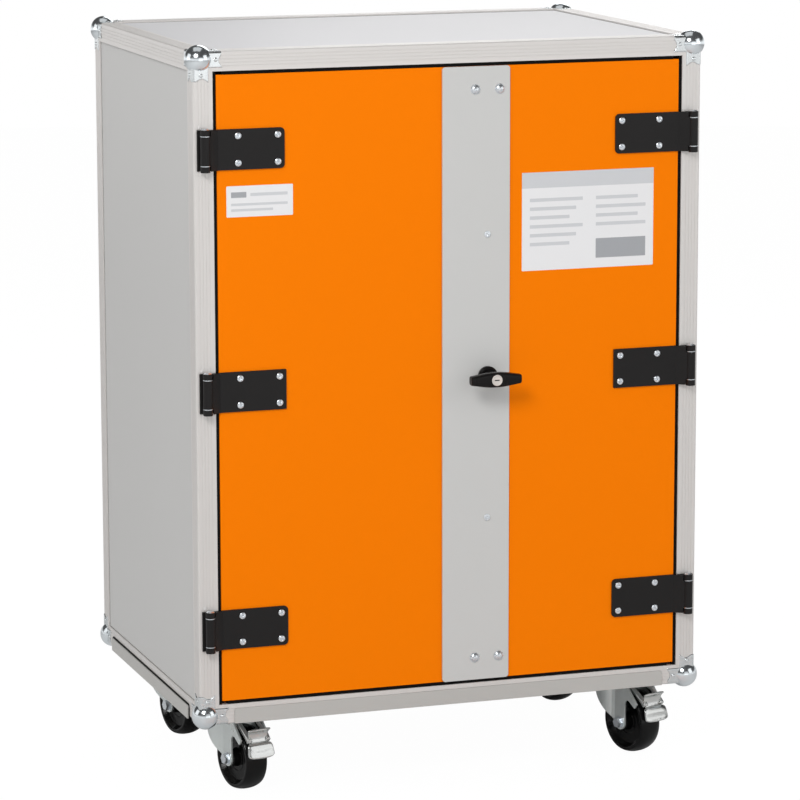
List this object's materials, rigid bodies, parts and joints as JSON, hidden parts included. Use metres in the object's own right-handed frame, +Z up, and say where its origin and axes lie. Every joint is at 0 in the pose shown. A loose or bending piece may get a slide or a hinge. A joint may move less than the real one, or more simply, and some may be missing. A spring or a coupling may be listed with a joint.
{
  "type": "battery cabinet",
  "caption": "Double-door battery cabinet of edge profiles with ball corners, orange doors, cover strip with turning T-handle, and swivel castors with brakes.",
  "frame": {"origin": "on the floor, under the middle of the whole outline", "axes": "+Z up, doors towards -Y, +X to the right seen from the front"},
  "size_m": [0.8184, 0.6272, 1.1443],
  "materials": {
    "aluminium": "anodised, fine long ribs",
    "panel_grey": "light grey laminate on board",
    "shelf_grey": "grey laminate on board",
    "zinc": "bright zinc plate",
    "chrome_corner": "bright zinc plate, polished",
    "door_orange": "satin orange laminate on board",
    "black_steel": "black satin powder coat",
    "strip_grey": "light grey powder coat",
    "skirt_grey": "grey powder coat",
    "bright_screw": "bright zinc plate",
    "seal_black": "black rubber",
    "handle_black": "satin black",
    "wheel_black": "black, smooth",
    "pedal_nickel": "cast, satin nickel",
    "guide_plastic": "black"
  },
  "bodies": {
    "cabinet": {"back_panel": "panel_grey", "ball_corners": "chrome_corner", "castor_plates": "zinc", "corner_rivets": "chrome_corner", "door_seal": "seal_black", "end_skirts": "skirt_grey", "floor_board": "shelf_grey", "front_rails": "aluminium", "front_uprights": "aluminium", "left_frame_leaves": "black_steel", "left_hinge_pins": "bright_screw", "left_panel": "panel_grey", "plate_bolts": "bright_screw", "rear_rails": "aluminium", "rear_uprights": "aluminium", "right_frame_leaves": "black_steel", "right_hinge_pins": "bright_screw", "right_panel": "panel_grey", "rod_keepers": "guide_plastic", "shelf_supports": "aluminium", "shelves": "shelf_grey", "side_rails": "aluminium", "side_skirts": "skirt_grey", "skirt_gaskets": "seal_black", "top_panel": "panel_grey"},
    "left_door": {"left_door_panel": "door_orange", "left_door_leaves": "black_steel", "left_leaf_screws": "bright_screw"},
    "right_door": {"right_door_panel": "door_orange", "right_door_leaves": "black_steel", "right_leaf_screws": "bright_screw", "cover_strip": "strip_grey", "strip_bolts": "bright_screw", "strip_screws": "bright_screw", "rod_guides": "guide_plastic", "lock_case": "zinc", "handle_base": "handle_black"},
    "lock_handle": {"handle": "handle_black", "spindle": "zinc"},
    "key_cylinder": {"key_plug": "chrome_corner"},
    "upper_bolt": {"upper_rod": "zinc"},
    "lower_bolt": {"lower_rod": "zinc"},
    "front_left_castor": {"front_left_fork": "zinc", "front_left_axle": "zinc"},
    "front_left_roller": {"front_left_wheel": "wheel_black"},
    "front_left_brake": {"front_left_pedal": "pedal_nickel"},
    "front_right_castor": {"front_right_fork": "zinc", "front_right_axle": "zinc"},
    "front_right_roller": {"front_right_wheel": "wheel_black"},
    "front_right_brake": {"front_right_pedal": "pedal_nickel"},
    "rear_left_castor": {"rear_left_fork": "zinc", "rear_left_axle": "zinc"},
    "rear_left_roller": {"rear_left_wheel": "wheel_black"},
    "rear_right_castor": {"rear_right_fork": "zinc", "rear_right_axle": "zinc"},
    "rear_right_roller": {"rear_right_wheel": "wheel_black"}
  },
  "joints": [
    {"name": "right_door_hinge", "type": "hinge", "parent": "cabinet", "child": "right_door", "pos_m": [0.385, -0.27565, 0.63], "axis": [0, 0, 1], "range_deg": [0, 180]},
    {"name": "left_door_hinge", "type": "hinge", "parent": "cabinet", "child": "left_door", "pos_m": [-0.385, -0.27565, 0.63], "axis": [0, 0, 1], "range_deg": [-180, 0]},
    {"name": "handle_turn", "type": "hinge", "parent": "right_door", "child": "lock_handle", "pos_m": [0.0555, -0.29565, 0.6315], "axis": [0, 1, 0], "range_deg": [0, 90]},
    {"name": "key_turn", "type": "hinge", "parent": "lock_handle", "child": "key_cylinder", "pos_m": [0.0555, -0.30765, 0.6315], "axis": [0, 1, 0], "range_deg": [0, 90]},
    {"name": "upper_bolt_slide", "type": "slide", "parent": "right_door", "child": "upper_bolt", "axis": [0, 0, 1], "range_m": [0, 0.012]},
    {"name": "lower_bolt_slide", "type": "slide", "parent": "right_door", "child": "lower_bolt", "axis": [0, 0, -1], "range_m": [0, 0.012]},
    {"name": "front_left_swivel", "type": "hinge", "parent": "cabinet", "child": "front_left_castor", "pos_m": [-0.32, -0.14765, 0.118], "axis": [0, 0, 1], "continuous": true},
    {"name": "front_left_roll", "type": "hinge", "parent": "front_left_castor", "child": "front_left_roller", "pos_m": [-0.31145, -0.18468, 0.05], "axis": [0.9744, 0.225, 0], "continuous": true},
    {"name": "front_left_brake_press", "type": "hinge", "parent": "front_left_castor", "child": "front_left_brake", "pos_m": [-0.3101, -0.19052, 0.107], "axis": [0.9744, 0.225, 0], "range_deg": [0, 6]},
    {"name": "front_right_swivel", "type": "hinge", "parent": "cabinet", "child": "front_right_castor", "pos_m": [0.32, -0.14765, 0.118], "axis": [0, 0, 1], "continuous": true},
    {"name": "front_right_roll", "type": "hinge", "parent": "front_right_castor", "child": "front_right_roller", "pos_m": [0.33111, -0.18399, 0.05], "axis": [0.9563, 0.2924, 0], "continuous": true},
    {"name": "front_right_brake_press", "type": "hinge", "parent": "front_right_castor", "child": "front_right_brake", "pos_m": [0.33286, -0.18973, 0.107], "axis": [0.9563, 0.2924, 0], "range_deg": [0, 6]},
    {"name": "rear_left_swivel", "type": "hinge", "parent": "cabinet", "child": "rear_left_castor", "pos_m": [-0.32, 0.18635, 0.118], "axis": [0, 0, 1], "continuous": true},
    {"name": "rear_left_roll", "type": "hinge", "parent": "rear_left_castor", "child": "rear_left_roller", "pos_m": [-0.3121, 0.14918, 0.05], "axis": [0.9781, 0.2079, 0], "continuous": true},
    {"name": "rear_right_swivel", "type": "hinge", "parent": "cabinet", "child": "rear_right_castor", "pos_m": [0.32, 0.18635, 0.118], "axis": [0, 0, 1], "continuous": true},
    {"name": "rear_right_roll", "type": "hinge", "parent": "rear_right_castor", "child": "rear_right_roller", "pos_m": [0.3279, 0.14918, 0.05], "axis": [0.9781, 0.2079, 0], "continuous": true}
  ],
  "couplings": [
    {"joint": "left_door_hinge", "follows": "right_door_hinge", "ratio": -1},
    {"joint": "handle_turn", "follows": "upper_bolt_slide", "rad_per_m": 130.9},
    {"joint": "lower_bolt_slide", "follows": "upper_bolt_slide", "ratio": 1}
  ]
}
